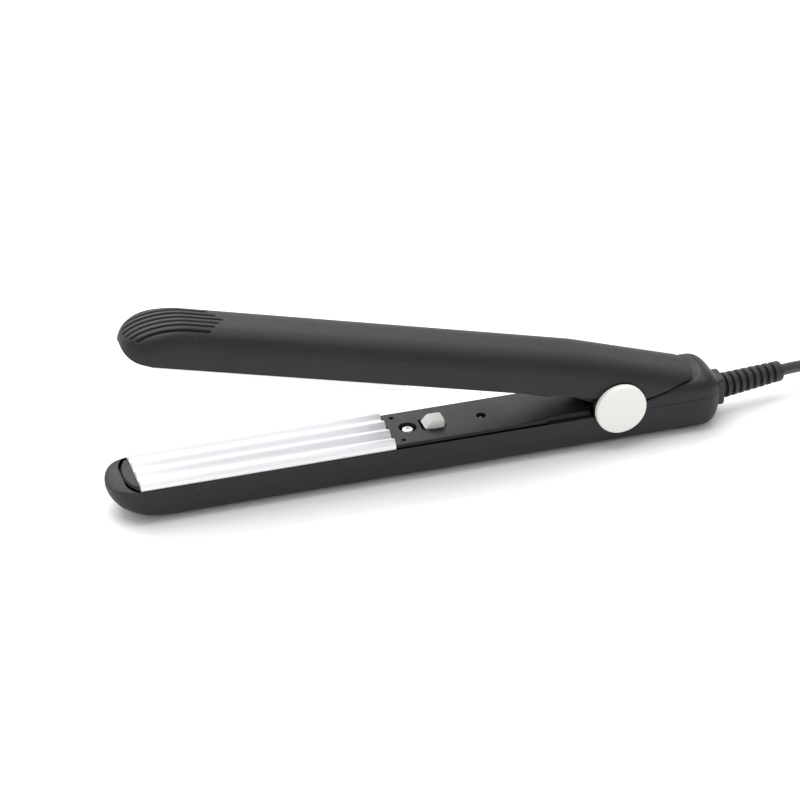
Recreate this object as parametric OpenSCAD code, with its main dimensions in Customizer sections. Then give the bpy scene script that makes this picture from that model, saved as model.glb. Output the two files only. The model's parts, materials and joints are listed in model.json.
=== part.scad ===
// Hair crimper: two slim arms on a sprung hinge, corrugated heated plates, mains lead.
// Millimetres. +X runs from the nose to the lead, +Z is up, the lower arm lies on z = 0.
// The arms are drawn at rest, sprung open. They close by turning the upper arm on its pin.

/* [Overall] */
// Length from the noses to the rear face
body_l = 197; // [180:1:240]
// Width of both arms
arm_w = 21; // [20:0.5:26]
// Depth of each arm, from its plate side to its back
arm_h = 12.2; // [12:0.1:16]
// Gap between the plate sides of the arms when the plates meet
arm_gap = 4.4; // [4:0.1:5.2]
// Angle between the arms at rest
open_angle = 14.5; // [10:0.5:18]

/* [Shells] */
// Wall thickness of the shells
wall = 1.6; // [1.2:0.1:2]
// Length of the nose's rounding seen from above
nose_l = 10.5; // [9:0.5:14]
// Length of the nose's slope seen from the side
nose_slope_l = 20; // [15:0.5:24]
// Depth of the chamfer that leads from the nose's tip to the plate side
nose_lip = 2.5; // [1.5:0.1:3.5]
// Squareness of an arm's section: 2 is an ellipse, more is squarer
section_n = 4; // [3:0.5:5]
// Height of the rear housing
rear_h = 19; // [18.5:0.1:23]
// Rounding of the rear end
rear_r = 6.5; // [4:0.5:7]

/* [Grip grooves] */
// Number of grooves on the back of each nose
groove_count = 7; // [3:2:9]
// Distance between grooves
groove_pitch = 2.3; // [1.8:0.1:2.4]
// Width of a groove
groove_w = 0.8; // [0.5:0.1:1]
// Depth of a groove
groove_d = 0.5; // [0.3:0.1:0.7]
// Length of the middle groove from the nose
groove_l = 29; // [20:1:32]
// How much shorter each groove further out is
groove_step = 1.8; // [1:0.1:2.5]

/* [Crimp plates] */
// Length of a plate
plate_l = 80; // [70:1:90]
// Width of a plate
plate_w = 20; // [19:0.5:20]
// Distance from the nose to the plate
plate_setback = 8.8; // [8:0.1:12]
// Distance between two waves
wave_pitch = 5.4; // [5:0.1:5.8]
// Height of a wave from valley to crest
wave_h = 1.5; // [1:0.1:1.8]
// Room left between the two plates when they meet
wave_clear = 0.3; // [0.2:0.05:0.5]

/* [Frames] */
// Thickness of the frame's rim where it lies on the shell
lip_t = 0.8; // [0.6:0.1:1.2]
// Depth of the frame's deck below its rim
deck_t = 1.4; // [1.2:0.1:2]
// How far the frame's cover stands proud behind the plate
cover_proud = 0.8; // [0.4:0.1:1]
// Distance from the nose to the frame's rear end
frame_l = 138; // [130:1:145]
// Clearance between a frame and its shell
frame_clear = 0.15; // [0.1:0.05:0.3]

/* [Hinge] */
// Distance from the rear face to the hinge pin
pivot_back = 35.6; // [34:0.1:42]
// Diameter of the hinge pin
pin_d = 4; // [3:0.1:5]
// Radial running clearance of the pin in the upper frame
pin_clear = 0.06; // [0.03:0.01:0.1]
// Radius of the ears on the lower shell
ear_r = 8; // [7:0.1:9]
// Gap around each ear
ear_clear = 0.4; // [0.3:0.1:0.6]
// Radius of the round caps
cap_r = 8.3; // [7.5:0.1:9]
// Thickness of the round caps
cap_t = 2.2; // [1.5:0.1:3]
// Width of one hinge lug of the upper frame
lug_w = 2.6; // [2:0.1:3]
// Play beside each lug, filled by a washer
washer_t = 0.5; // [0.3:0.1:0.8]
// Wire of the torsion spring
spring_wire = 1.1; // [0.8:0.1:1.2]
// Turns of the torsion spring
spring_turns = 4; // [3:1:4]

/* [Switch and lamp] */
// Distance from the plate to the frame screw
screw_off = 6.7; // [5:0.1:9]
// Distance from the plate to the middle of the knob
knob_off = 15.6; // [14:0.1:18]
// Length of the knob
knob_l = 5; // [4:0.1:6]
// Width of the knob
knob_w = 5.6; // [4:0.1:6.5]
// Height of the knob over the cover
knob_h = 2.1; // [1.5:0.1:3]
// Travel of the knob
knob_travel = 2; // [1.5:0.1:2.5]
// Distance from the plate to the indicator lamp
lamp_off = 30.6; // [29:0.1:34]
// Diameter of the indicator lamp
lamp_d = 3; // [2:0.1:4]

/* [Lead] */
// Diameter of the mains lead
cord_d = 3.8; // [3.4:0.1:4.4]
// Height of the lead's exit
exit_z = 9.2; // [9:0.1:10]
// Angle the strain relief is bent to the side
relief_turn = 8; // [0:1:12]
// Length of the ribbed part of the strain relief
relief_l = 22.8; // [18:0.1:30]
// Diameter of the strain relief at the housing
relief_d = 8.2; // [7:0.1:9]
// Diameter of the strain relief at its end
relief_tip_d = 6.6; // [6:0.1:7.5]
// Number of ribs
rib_count = 7; // [4:1:9]
// Layers of the hank, one on the other
hank_rows = 4; // [2:2:4]
// Diameter of a plug pin
plug_pin_d = 4; // [4:0.1:4.8]
// Length of a plug pin
plug_pin_l = 19; // [19:0.5:19]
// Distance between the plug pins
plug_pin_pitch = 19; // [19:0.5:19]

/* [Hidden] */

eps = 0.01;
round_fn = 96;
small_fn = 48;
arch_steps = 25;
nose_steps = 10;

nose_x = -body_l / 2;
rear_x = body_l / 2;
pivot_x = rear_x - pivot_back;
pivot_z = arm_h + arm_gap / 2;
plate_x0 = nose_x + plate_setback;
plate_x1 = plate_x0 + plate_l;
frame_x1 = nose_x + frame_l;
half_w = arm_w / 2;
inner_w = half_w - wall;
shell_end_x = rear_x - wall;

// The plates meet half way between the arms, each a mean wave height short of it.
plate_mean = arm_gap / 2 - wave_clear / 2;
plate_base = lip_t + deck_t;
neck_w = inner_w - 2.2;
rail_h = 4.2;
rail_t = 1.1;
hook_t = 0.8;
heater_l = 50;
heater_t = 2.4;
film_t = 0.3;

screw_x = plate_x1 + screw_off;
knob_x = plate_x1 + knob_off;
lamp_x = plate_x1 + lamp_off;
screw_d = 2.6;
screw_head_d = 4;
screw_head_t = 1.5;
screw_l = 8;
boss_d = 5.2;
cover_z = arm_h + cover_proud;

// Seam between the upper arm's tail and the rear housing, as offsets from the pin.
seam_gap = 0.3;
// The upper arm's back starts to drop this far ahead of the pin.
tail_run = 15;
tail_drop = 3.7;
tail_round = 8;
tail_half_w = half_w + 0.6;
seam = [[8.2, 0.7], [10.7, 1.3], [13.4, 1.9], [16.7, 2.8], [19.2, 3.7], [21.7, 4.1],
    [24.3, 4.1], [27, 3.8]];

// ---- Sections and outlines ----

function sgn(v) = v < 0 ? -1 : 1;
// A half superellipse. An odd number of steps leaves one flat side at its crown.
function super_arch(w, h, n, steps) = [for (i = [0:steps])
    let (a = 180 * i / steps, crown = pow(cos(90 / steps), 2 / n))
    [w * sgn(cos(a)) * pow(abs(cos(a)), 2 / n), h / crown * pow(abs(sin(a)), 2 / n)]];
function quarter(l, h, n, steps) = [for (i = [0:steps]) let (a = 90 * i / steps)
    [l * (1 - pow(cos(a), 2 / n)), h * pow(sin(a), 2 / n)]];

// A D-shaped bar along X, its flat side at z = 0.
module arch_bar(x0, x1, w, h) {
    translate([x0, 0, 0]) rotate([90, 0, 90])
        linear_extrude(x1 - x0) polygon(super_arch(w, h, section_n, arch_steps));
}

module side_block(points, w) {
    rotate([90, 0, 0]) linear_extrude(w, center = true) polygon(points);
}

// An arm's body in its own frame: plate side at z = 0, back at z = arm_h. The inset d
// gives the cavity of a shell of that wall.
module arm_body(d, x_end, drop) {
    tip = nose_x + d;
    w = half_w - d;
    h = arm_h - d;
    slope = quarter(nose_slope_l, h - nose_lip, 1.5, nose_steps);
    intersection() {
        arch_bar(tip, x_end, w, h);
        side_block(concat([[x_end, 0], [tip + 2 * nose_lip, 0]],
            [for (p = slope) [tip + p[0], nose_lip + p[1]]],
            [[pivot_x - tail_run, h], [x_end, h - drop]]), 2 * arm_w);
        linear_extrude(arm_h) union() {
            translate([tip + nose_l, 0]) scale([nose_l / w, 1]) circle(w, $fn = round_fn);
            translate([tip + nose_l, -w]) square([x_end - tip - nose_l, 2 * w]);
        }
    }
}

module grooves() {
    reach = (groove_count - 1) / 2;
    intersection() {
        for (i = [-reach:reach])
            translate([nose_x + 1.5, i * groove_pitch - groove_w / 2, 0.3 * arm_h])
                cube([groove_l - abs(i) * groove_step - 1.5, groove_w, arm_h]);
        difference() {
            arm_body(-eps, rear_x, 0);
            arm_body(groove_d, rear_x, 0);
        }
    }
}

// Outline of a frame seen from above: an elliptic front, straight sides.
module frame_outline(d, x_end) {
    w = half_w - d;
    front = plate_setback / 2 - d;
    translate([plate_x0, 0]) scale([front / w, 1]) circle(w, $fn = round_fn);
    translate([plate_x0, -w]) square([x_end - plate_x0, 2 * w]);
}

module screw_post(x, z0, z1) {
    translate([x, 0, z0]) cylinder(h = z1 - z0, d = boss_d, $fn = small_fn);
}

module screw(length) {
    translate([0, 0, -screw_head_t]) cylinder(h = screw_head_t, d = screw_head_d, $fn = small_fn);
    cylinder(h = length, d = screw_d, $fn = small_fn);
}

module screw_drive() {
    for (a = [0, 90]) rotate([0, 0, a])
        translate([-1.2, -0.3, -screw_head_t - eps]) cube([2.4, 0.6, 0.8]);
}

module at_pin(w) {
    translate([pivot_x, 0, pivot_z]) rotate([90, 0, 0]) translate([0, 0, -w / 2]) children();
}

module lower_place() {
    translate([0, 0, arm_h]) mirror([0, 0, 1]) children();
}

module upper_place() {
    translate([pivot_x, 0, pivot_z]) rotate([0, open_angle, 0])
        translate([-pivot_x, 0, arm_gap / 2]) children();
}

// ---- Parts that both arms share, in an arm's own frame ----

module frame_screw() {
    translate([screw_x, 0, screw_head_t + 0.4 - cover_proud]) difference() {
        screw(screw_l);
        screw_drive();
    }
}

module frame_post() {
    difference() {
        screw_post(screw_x, plate_base + 1.2, arm_h - wall / 2);
        translate([screw_x, 0, 0]) cylinder(h = screw_head_t + 0.5 + screw_l, d = screw_d,
            $fn = small_fn);
    }
}

module arm_shell(x_end, cavity_end, drop) {
    difference() {
        arm_body(0, x_end, drop);
        difference() {
            arm_body(wall, cavity_end, drop);
            translate([nose_x - 1, -arm_w, -1]) cube([plate_setback - 1.5, 2 * arm_w, 2.8]);
        }
        translate([0, 0, -1]) linear_extrude(1 + lip_t) frame_outline(-eps, frame_x1);
        translate([0, 0, -1]) linear_extrude(plate_base + 1.2)
            frame_outline(wall, frame_x1);
        grooves();
    }
    frame_post();
}

module arm_frame() {
    difference() {
        union() {
            linear_extrude(lip_t) frame_outline(frame_clear, frame_x1);
            linear_extrude(plate_base) frame_outline(wall + frame_clear, frame_x1);
            translate([plate_x1 + 0.2, -half_w + 1.2, -cover_proud])
                cube([frame_x1 - plate_x1 - 0.2, arm_w - 2.4, cover_proud + eps]);
        }
        translate([plate_x0 - 0.1, -neck_w - 0.1, -1])
            cube([plate_l + 0.2, 2 * neck_w + 0.2, plate_base + 2]);
        translate([screw_x, 0, -cover_proud - eps])
            cylinder(h = screw_head_t + 0.4 + eps, d = boss_d, $fn = small_fn);
        translate([screw_x, 0, -1]) cylinder(h = plate_base + 2, d = screw_d + 0.2,
            $fn = small_fn);
        for (s = [-1, 1]) translate([plate_x1 + 3.4, s * 6.6, -cover_proud - eps])
            cylinder(h = 0.8, d = 1.4, $fn = small_fn);
    }
}

// Extruded plate: waves on its face, a neck through the frame, two rails behind.
module crimp_plate(phase) {
    steps = 60;
    face = [for (i = [0:steps]) let (y = plate_w * (i / steps - 0.5))
        [y, -plate_mean - phase * wave_h / 2 * cos(360 * y / wave_pitch)]];
    hook = neck_w - rail_t - 1;
    translate([plate_x0, 0, 0]) rotate([90, 0, 90]) linear_extrude(plate_l)
        polygon(concat(face, [
            [plate_w / 2, 0], [neck_w, 0], [neck_w, plate_base + rail_h],
            [hook, plate_base + rail_h], [hook, plate_base + rail_h - hook_t],
            [neck_w - rail_t, plate_base + rail_h - hook_t], [neck_w - rail_t, plate_base],
            [-neck_w + rail_t, plate_base], [-neck_w + rail_t, plate_base + rail_h - hook_t],
            [-hook, plate_base + rail_h - hook_t], [-hook, plate_base + rail_h],
            [-neck_w, plate_base + rail_h], [-neck_w, 0], [-plate_w / 2, 0]]));
}

module behind_plate(l, w, z0, t) {
    translate([(plate_x0 + plate_x1 - l) / 2, -w / 2, z0]) cube([l, w, t]);
}

heater_w = 2 * (neck_w - rail_t) - 1.4;
module heater() { behind_plate(heater_l, heater_w, plate_base, heater_t); }
module heater_film() {
    behind_plate(heater_l + 6, heater_w + 1, plate_base + heater_t, film_t);
}
// A bar that springs between the rails' hooks and the heater.
module heater_clip() {
    z = plate_base + heater_t + film_t;
    t = rail_h - hook_t - heater_t - film_t;
    difference() {
        behind_plate(heater_l - 6, heater_w + 1, z, t);
        for (i = [-1:1]) translate([(plate_x0 + plate_x1) / 2 + 14 * i - 4, -2, z - 1])
            cube([8, 4, t + 2]);
    }
}

// ---- Lower arm ----

relief_hole = 6;
relief_flange_w = 8;
relief_flange_h = 9.6;
relief_flange_t = 2.7;
stem_r = 3;
stem_l = 0.8;
ear_t = 2.6;
ear_in = half_w - ear_t;
lug_out = ear_in - washer_t;
lug_r = 5.6;

// The seam as points in space, moved up by d.
function seam_line(d) = [for (p = concat([[ear_r + 0.2, seam[0][1]]], [for (i = [1:len(seam) - 1])
    seam[i]])) [pivot_x + p[0], pivot_z + p[1] + d]];

// Everything inside the rounded rear end.
module rear_limit() {
    r = rear_r;
    intersection() {
        linear_extrude(rear_h + 1) {
            translate([nose_x - 1, -half_w - 1]) square([body_l + 1 - r, arm_w + 2]);
            translate([rear_x - r - eps, -half_w + r]) square([r + eps, arm_w - 2 * r]);
            for (s = [-1, 1]) translate([rear_x - r, s * (half_w - r)])
                circle(r, $fn = round_fn);
        }
        rotate([90, 0, 0]) linear_extrude(2 * arm_w, center = true) {
            translate([nose_x - 1, -1]) square([body_l + 1 - r, rear_h + 2]);
            translate([rear_x - r - eps, r]) square([r + eps, rear_h - 2 * r]);
            translate([rear_x - r, r]) circle(r, $fn = round_fn);
            translate([rear_x - r, rear_h - r]) circle(r, $fn = round_fn);
        }
    }
}

module relief_slot() {
    translate([rear_x - 2 * wall, -relief_hole / 2, exit_z - relief_hole / 2])
        cube([3 * wall, relief_hole, relief_hole]);
}

module ear() {
    web = arm_h - 3;
    intersection() {
        at_pin(arm_w) cylinder(h = arm_w, r = ear_r, $fn = round_fn);
        translate([pivot_x - ear_r, -half_w, web]) cube([2 * ear_r, arm_w, arm_w + arm_h]);
    }
}

clamp_x = rear_x - 15;
clamp_w = 12;
clamp_screw_y = 4.2;
cover_screw_x = rear_x - 9.5;
cover_screw_y = 5.2;
cover_screw_d = 2;
cover_head_d = 3.6;
cover_head_z = 3.4;
cover_post_d = 4.6;
cover_screw_l = 6;

module at_cover_screws(z) {
    for (s = [-1, 1]) translate([cover_screw_x, s * cover_screw_y, z]) children();
}

module lower_shell() {
    color([0.2, 0.2, 0.21]) difference() {
        union() {
            intersection() {
                lower_place() arm_shell(rear_x, shell_end_x, 0);
                rear_limit();
            }
            difference() {
                ear();
                translate([pivot_x - 20, -ear_in, 0]) cube([40, 2 * ear_in, 3 * arm_h]);
            }
            for (s = [-1, 1]) translate([clamp_x, s * clamp_screw_y, wall / 2])
                cylinder(h = exit_z - cord_d / 2 - wall / 2 - 1, d = 3.4, $fn = small_fn);
            at_cover_screws(wall / 2) cylinder(h = arm_h - wall / 2, d = cover_post_d,
                $fn = small_fn);
        }
        at_cover_screws(-1) cylinder(h = arm_h + 2, d = cover_screw_d, $fn = small_fn);
        at_cover_screws(-1) cylinder(h = 1 + cover_head_z, d = cover_head_d, $fn = small_fn);
        at_pin(arm_w + 2) cylinder(h = arm_w + 2, d = pin_d, $fn = small_fn);
        for (s = [-1, 1]) translate([pivot_x, s * half_w, pivot_z]) rotate([90, 0, 0])
            cylinder(h = 2 * stem_l, r = stem_r, center = true, $fn = small_fn);
        relief_slot();
        for (s = [-1, 1]) translate([clamp_x, s * clamp_screw_y, wall])
            cylinder(h = arm_h, d = 1.6, $fn = small_fn);
    }
}

module rear_body(d) {
    line = seam_line(-d);
    h = rear_h - arm_h - d;
    intersection() {
        translate([0, 0, arm_h]) arch_bar(pivot_x, rear_x - d, half_w - d, h);
        side_block(concat([[line[0][0] + 2 * d, arm_h - eps]],
            [for (p = line) [p[0] + 2 * d, max(p[1], arm_h)]],
            [[line[len(line) - 1][0] + 2 * d, rear_h], [rear_x - d, rear_h],
            [rear_x - d, arm_h - eps]]), 2 * arm_w);
    }
}

module rear_cover() {
    color([0.22, 0.22, 0.23]) difference() {
        intersection() {
            rear_body(0);
            rear_limit();
        }
        difference() {
            translate([0, 0, -eps]) rear_body(wall);
            at_cover_screws(arm_h - 1) cylinder(h = rear_h, d = cover_post_d, $fn = small_fn);
        }
        at_cover_screws(arm_h - 1) cylinder(h = cover_screw_l, d = cover_screw_d,
            $fn = small_fn);
        relief_slot();
    }
}

module lower_frame() {
    slot_l = knob_l + knob_travel + 0.6;
    color([0.27, 0.275, 0.28]) difference() {
        lower_place() arm_frame();
        translate([knob_x + knob_l / 2 + 0.3 - slot_l, -knob_w / 2 - 0.3, 0])
            cube([slot_l, knob_w + 0.6, 2 * arm_h]);
        translate([lamp_x, 0, 0]) cylinder(h = 2 * arm_h, d = lamp_d, $fn = small_fn);
    }
}

module lower_plate() { color([0.9, 0.91, 0.92]) lower_place() crimp_plate(-1); }
module lower_heater() { color([0.8, 0.78, 0.72]) lower_place() heater(); }
module lower_heater_film() { color([0.85, 0.55, 0.2]) lower_place() heater_film(); }
module lower_heater_clip() { color([0.6, 0.6, 0.62]) lower_place() heater_clip(); }

fuse_d = 3;
fuse_l = 9;
module thermal_fuse() {
    z = plate_base + fuse_d / 2 + 0.4;
    color([0.75, 0.7, 0.6]) lower_place() translate([plate_x0 + 3, 0, z])
        rotate([0, 90, 0]) union() {
            cylinder(h = fuse_l, d = fuse_d, $fn = small_fn);
            translate([0, 0, -1.5]) cylinder(h = fuse_l + 3, d = 0.8, $fn = small_fn);
        }
}

switch_t = 5;
switch_w = 8.4;
terminal_l = 2;
switch_top = arm_h - plate_base - 0.2;
module switch_body() {
    l = knob_l + knob_travel + 3;
    x0 = knob_x + knob_l / 2 + 2 - l;
    color([0.15, 0.15, 0.16]) difference() {
        translate([x0, -switch_w / 2, switch_top - switch_t]) cube([l, switch_w, switch_t]);
        translate([knob_x - 1.3 - knob_travel, -1.3, switch_top - 2])
            cube([knob_travel + 2.6, 2.6, 3]);
    }
}

module switch_terminals() {
    color([0.75, 0.6, 0.3]) for (i = [-1:1])
        translate([knob_x - 1 + 3 * i - 0.4, -1, switch_top - switch_t - terminal_l])
            cube([0.8, 2, terminal_l]);
}

module switch_knob() {
    stem = 2;
    step = 0.9;
    top = cover_z + knob_h;
    foot = arm_h - plate_base + 0.2;
    color([0.7, 0.7, 0.68]) union() {
        translate([knob_x, 0, 0]) side_block([[-knob_l / 2, foot], [knob_l / 2, foot],
            [knob_l / 2, top - step / 2], [knob_l / 2 - step / 2, top], [-knob_l / 2 + step, top],
            [-knob_l / 2, top - step]], knob_w);
        translate([knob_x - stem / 2, -stem / 2, switch_top - 1.8])
            cube([stem, stem, 1.8 + foot - switch_top + eps]);
    }
}

module indicator_lamp() {
    r = lamp_d / 2 - 0.1;
    top = cover_z - 0.6;
    color([0.5, 0.15, 0.12]) translate([lamp_x, 0, top - r]) union() {
        sphere(r, $fn = small_fn);
        translate([0, 0, -2.4]) cylinder(h = 2.4, r = r, $fn = small_fn);
    }
}

module lamp_board() {
    color([0.2, 0.4, 0.25]) translate([lamp_x - 5, -5, cover_z - 0.6 - lamp_d / 2 + 0.1 - 3.4])
        union() {
            cube([14, 10, 1]);
            translate([10, 1.5, -1.6]) cube([2, 6, 1.6]);
        }
}

module lower_frame_screw() { color([0.85, 0.85, 0.85]) lower_place() frame_screw(); }

module rear_cover_screws() {
    head_t = 1.2;
    color([0.6, 0.6, 0.6]) at_cover_screws(cover_head_z - head_t) difference() {
        union() {
            cylinder(h = head_t, d = cover_head_d - 0.2, $fn = small_fn);
            cylinder(h = arm_h + 4.5 - cover_head_z + head_t, d = cover_screw_d,
                $fn = small_fn);
        }
        for (a = [0, 90]) rotate([0, 0, a]) translate([-0.9, -0.2, -eps])
            cube([1.8, 0.4, 0.6]);
    }
}

module cord_clamp() {
    z = exit_z + cord_d / 2;
    color([0.3, 0.3, 0.3]) difference() {
        translate([clamp_x - 2.5, -clamp_w / 2, z - 1]) cube([5, clamp_w, 2.4]);
        translate([clamp_x, 0, exit_z]) rotate([0, 90, 0])
            cylinder(h = 6, d = cord_d, center = true, $fn = small_fn);
        for (s = [-1, 1]) translate([clamp_x, s * clamp_screw_y, 0])
            cylinder(h = 3 * arm_h, d = 1.8, $fn = small_fn);
    }
}

module clamp_screws() {
    top = exit_z + cord_d / 2 + 1.4;
    color([0.8, 0.8, 0.8]) for (s = [-1, 1]) translate([clamp_x, s * clamp_screw_y, 0]) union() {
        translate([0, 0, top]) cylinder(h = 1.2, d = 2.8, $fn = small_fn);
        translate([0, 0, top - 8]) cylinder(h = 8, d = 1.6, $fn = small_fn);
    }
}

wire_d = 1.4;
module wire(x0, x1, y, z) {
    translate([x0, y, z]) rotate([0, 90, 0]) cylinder(h = x1 - x0, d = wire_d, $fn = 24);
}

// Two conductors run forward from the lead, past the hinge and the switch.
module lower_wires() {
    x1 = rear_x - 9.2;
    x0 = knob_x + 12;
    color([0.6, 0.2, 0.15]) union() {
        for (s = [-1, 1]) wire(x0, x1 - 8, s * 6.2, wall + 1.6);
        for (s = [-1, 1]) wire(plate_x0 + 15, x0 - 4, s * 7.2, arm_h - plate_base - rail_h - 1.5);
    }
}

// ---- Hinge ----

module hinge_pin() {
    w = arm_w - 2 * stem_l;
    color([0.75, 0.75, 0.76]) at_pin(w) cylinder(h = w, d = pin_d, $fn = small_fn);
}

module hinge_washers() {
    t = washer_t - 0.1;
    color([0.7, 0.7, 0.7]) for (s = [-1, 1])
        translate([pivot_x, s * (ear_in - washer_t / 2), pivot_z]) rotate([90, 0, 0])
            difference() {
                cylinder(h = t, r = pin_d / 2 + 2, center = true, $fn = small_fn);
                cylinder(h = t + 1, r = pin_d / 2 + pin_clear, center = true, $fn = small_fn);
            }
}

module pivot_cap(s) {
    edge = 0.5;
    color([0.96, 0.95, 0.94]) translate([pivot_x, s * half_w, pivot_z])
        rotate([-90 * s, 0, 0]) union() {
            rotate_extrude($fn = round_fn) polygon([[0, 0.1], [cap_r, 0.1], [cap_r, cap_t - edge],
                [cap_r - 0.3 * edge, cap_t - 0.3 * edge], [cap_r - edge, cap_t], [0, cap_t]]);
            translate([0, 0, -stem_l]) cylinder(h = stem_l + 0.2, r = stem_r, $fn = small_fn);
        }
}
module pivot_cap_near() { pivot_cap(-1); }
module pivot_cap_far() { pivot_cap(1); }

// Tube through rings of points: each ring is a list of points round the path.
module tube(rings) {
    n = len(rings[0]);
    last = len(rings) - 1;
    polyhedron(points = [for (ring = rings) for (p = ring) p], faces = concat(
        [[for (j = [n - 1:-1:0]) j]],
        [for (i = [0:last - 1]) for (j = [0:n - 1]) let (k = (j + 1) % n)
            [i * n + j, i * n + k, (i + 1) * n + k, (i + 1) * n + j]],
        [[for (j = [0:n - 1]) last * n + j]]));
}

spring_r = pin_d / 2 + 0.6 + spring_wire / 2;
spring_pitch = spring_wire + 0.15;
spring_leg = 13;
spring_sweep = 360 * spring_turns + 180 - open_angle;
// Place along the spring: s below 0 is the lower leg, above 1 the upper leg.
function spring_phi(s) = -90 + spring_sweep * min(max(s, 0), 1);
function spring_at(s) = let (a = spring_phi(s), run = spring_leg * (s < 0 ? s : max(s - 1, 0)),
    y = spring_pitch * spring_turns * (min(max(s, 0), 1) - 0.5))
    [spring_r * cos(a) - run * sin(a), y, spring_r * sin(a) + run * cos(a)];
function spring_ring(s) = let (a = spring_phi(s), c = spring_at(s), r = spring_wire / 2)
    [for (j = [0:7]) let (t = 45 * j)
        c + [r * cos(t) * cos(a), r * sin(t), r * cos(t) * sin(a)]];
module torsion_spring() {
    n = 14 * spring_turns + 6;
    color([0.6, 0.6, 0.62]) translate([pivot_x, 0, pivot_z])
        tube([for (s = concat([-1], [for (i = [0:n]) i / n], [2])) spring_ring(s)]);
}

// ---- Upper arm ----

// The tail's end seen from above is a half ellipse.
module tail_outline(x_end) {
    translate([nose_x, -arm_w]) square([x_end - tail_round - nose_x, 2 * arm_w]);
    translate([x_end - tail_round, 0]) scale([tail_round / tail_half_w, 1])
        circle(tail_half_w, $fn = round_fn);
}

module upper_shell() {
    line = seam_line(seam_gap);
    last = line[len(line) - 1];
    far = 3 * arm_h;
    color([0.3, 0.3, 0.31]) difference() {
        intersection() {
            upper_place() arm_shell(rear_x, rear_x + 1, tail_drop);
            linear_extrude(5 * rear_h) tail_outline(last[0]);
        }
        at_pin(2 * arm_w) cylinder(h = 2 * arm_w, r = ear_r + ear_clear, $fn = round_fn);
        side_block(concat([[pivot_x, -far], [pivot_x, pivot_z]], line,
            [[last[0], 2 * far], [rear_x + far, 2 * far], [rear_x + far, -far]]), 2 * arm_w);
    }
}

// One hinge lug in the arm's own frame, with the web that carries it.
module lug(s) {
    y0 = s > 0 ? lug_out - lug_w : -lug_out;
    translate([0, y0 + lug_w, 0]) rotate([90, 0, 0]) linear_extrude(lug_w) union() {
        translate([pivot_x, -arm_gap / 2]) circle(lug_r, $fn = round_fn);
        polygon([[frame_x1 - 4, lip_t], [pivot_x - lug_r, lip_t],
            [pivot_x - lug_r + 0.4, -arm_gap / 2], [pivot_x + lug_r - 0.4, -arm_gap / 2],
            [pivot_x + lug_r - 1.4, 4.6], [pivot_x - 4, 7], [frame_x1 - 4, 4.6]]);
    }
}

module upper_frame() {
    color([0.25, 0.25, 0.26]) difference() {
        union() {
            upper_place() arm_frame();
            upper_place() for (s = [-1, 1]) lug(s);
        }
        at_pin(arm_w) cylinder(h = arm_w, r = pin_d / 2 + pin_clear, $fn = small_fn);
    }
}

module upper_plate() { color([0.9, 0.91, 0.92]) upper_place() crimp_plate(1); }
module upper_heater() { color([0.8, 0.78, 0.72]) upper_place() heater(); }
module upper_heater_film() { color([0.85, 0.55, 0.2]) upper_place() heater_film(); }
module upper_heater_clip() { color([0.6, 0.6, 0.62]) upper_place() heater_clip(); }
module upper_frame_screw() { color([0.85, 0.85, 0.85]) upper_place() frame_screw(); }
module upper_wires() {
    color([0.6, 0.2, 0.15]) upper_place() for (s = [-1, 1])
        wire(plate_x0 + 15, frame_x1 - 6, s * 3.8, plate_base + rail_h + 1.5);
}

// ---- Lead ----

module strain_relief() {
    rib = relief_l / (rib_count + 0.5);
    r0 = relief_d / 2;
    slope = (relief_d - relief_tip_d) / 2 / relief_l;
    color([0.2, 0.2, 0.21]) translate([rear_x, 0, exit_z]) union() {
        translate([0, -relief_flange_w / 2, -relief_flange_h / 2])
            cube([relief_flange_t, relief_flange_w, relief_flange_h]);
        translate([-wall - 2, -relief_hole / 2 + 0.05, -relief_hole / 2 + 0.05])
            cube([wall + 2 + eps, relief_hole - 0.1, relief_hole - 0.1]);
        translate([-wall - 2, -3.6, -3.9]) cube([1.8, 7.2, 7.8]);
        translate([relief_flange_t - 1, 0, 0]) rotate([0, 90, relief_turn])
            rotate_extrude($fn = small_fn) polygon(concat([[0, 0]],
                [for (i = [0:rib_count - 1]) let (z = 1 + i * rib, r = r0 - slope * z)
                    each [[r - 1.1, z], [r - 1.1, z + 0.3 * rib], [r, z + 0.45 * rib],
                        [r, z + 0.85 * rib], [r - 1.1, z + rib]]],
                [[relief_tip_d / 2 - 1, relief_l + 1], [0, relief_l + 1]]));
    }
}

tie_t = 0.6;
hank_run = 76;
hank_in_r = 11.4;
hank_cols = 2;
// The hank's middle line, past the strain relief.
hank_x0 = rear_x + 75.5;
hank_x1 = hank_x0 + hank_run;
hank_h = hank_rows * cord_d;
hank_w = 2 * hank_in_r + (2 * hank_cols - 1) * cord_d;
hank_z = tie_t + cord_d / 2;
hank_out_y = hank_w / 2 - cord_d / 2;
hank_top_z = hank_z + (hank_rows - 1) * cord_d;

// The plug lies on the hank, its pins away from the arms.
plug_l = 35;
plug_w = 26;
plug_t = 13.8;
plug_waist = 20;
plug_tail = 12;
plug_root_d = 3.2;
plug_root_l = 8;
plug_y = (hank_w - plug_w) / 2;
plug_z = hank_h + 2 * tie_t;
plug_x = hank_x0 + 36 + plug_tail + plug_l;

// The lead leaves the relief, comes down to the surface and runs into the hank.
cord_in = [[rear_x + 24.3, 3.2, exit_z], [rear_x + 28, 3.8, exit_z - 0.1],
    [rear_x + 32, 4.8, exit_z - 0.6], [rear_x + 36, 6.2, exit_z - 1.6],
    [rear_x + 40, 7.9, exit_z - 2.9], [rear_x + 44.5, 9.9, exit_z - 4.3],
    [rear_x + 49.5, 11.9, exit_z - 5.6], [rear_x + 55.5, 13.7, exit_z - 6.4],
    [rear_x + 62, 14.8, hank_z + 0.1], [rear_x + 69, hank_out_y, hank_z],
    [hank_x0 + 0.5, hank_out_y, hank_z]];
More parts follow.
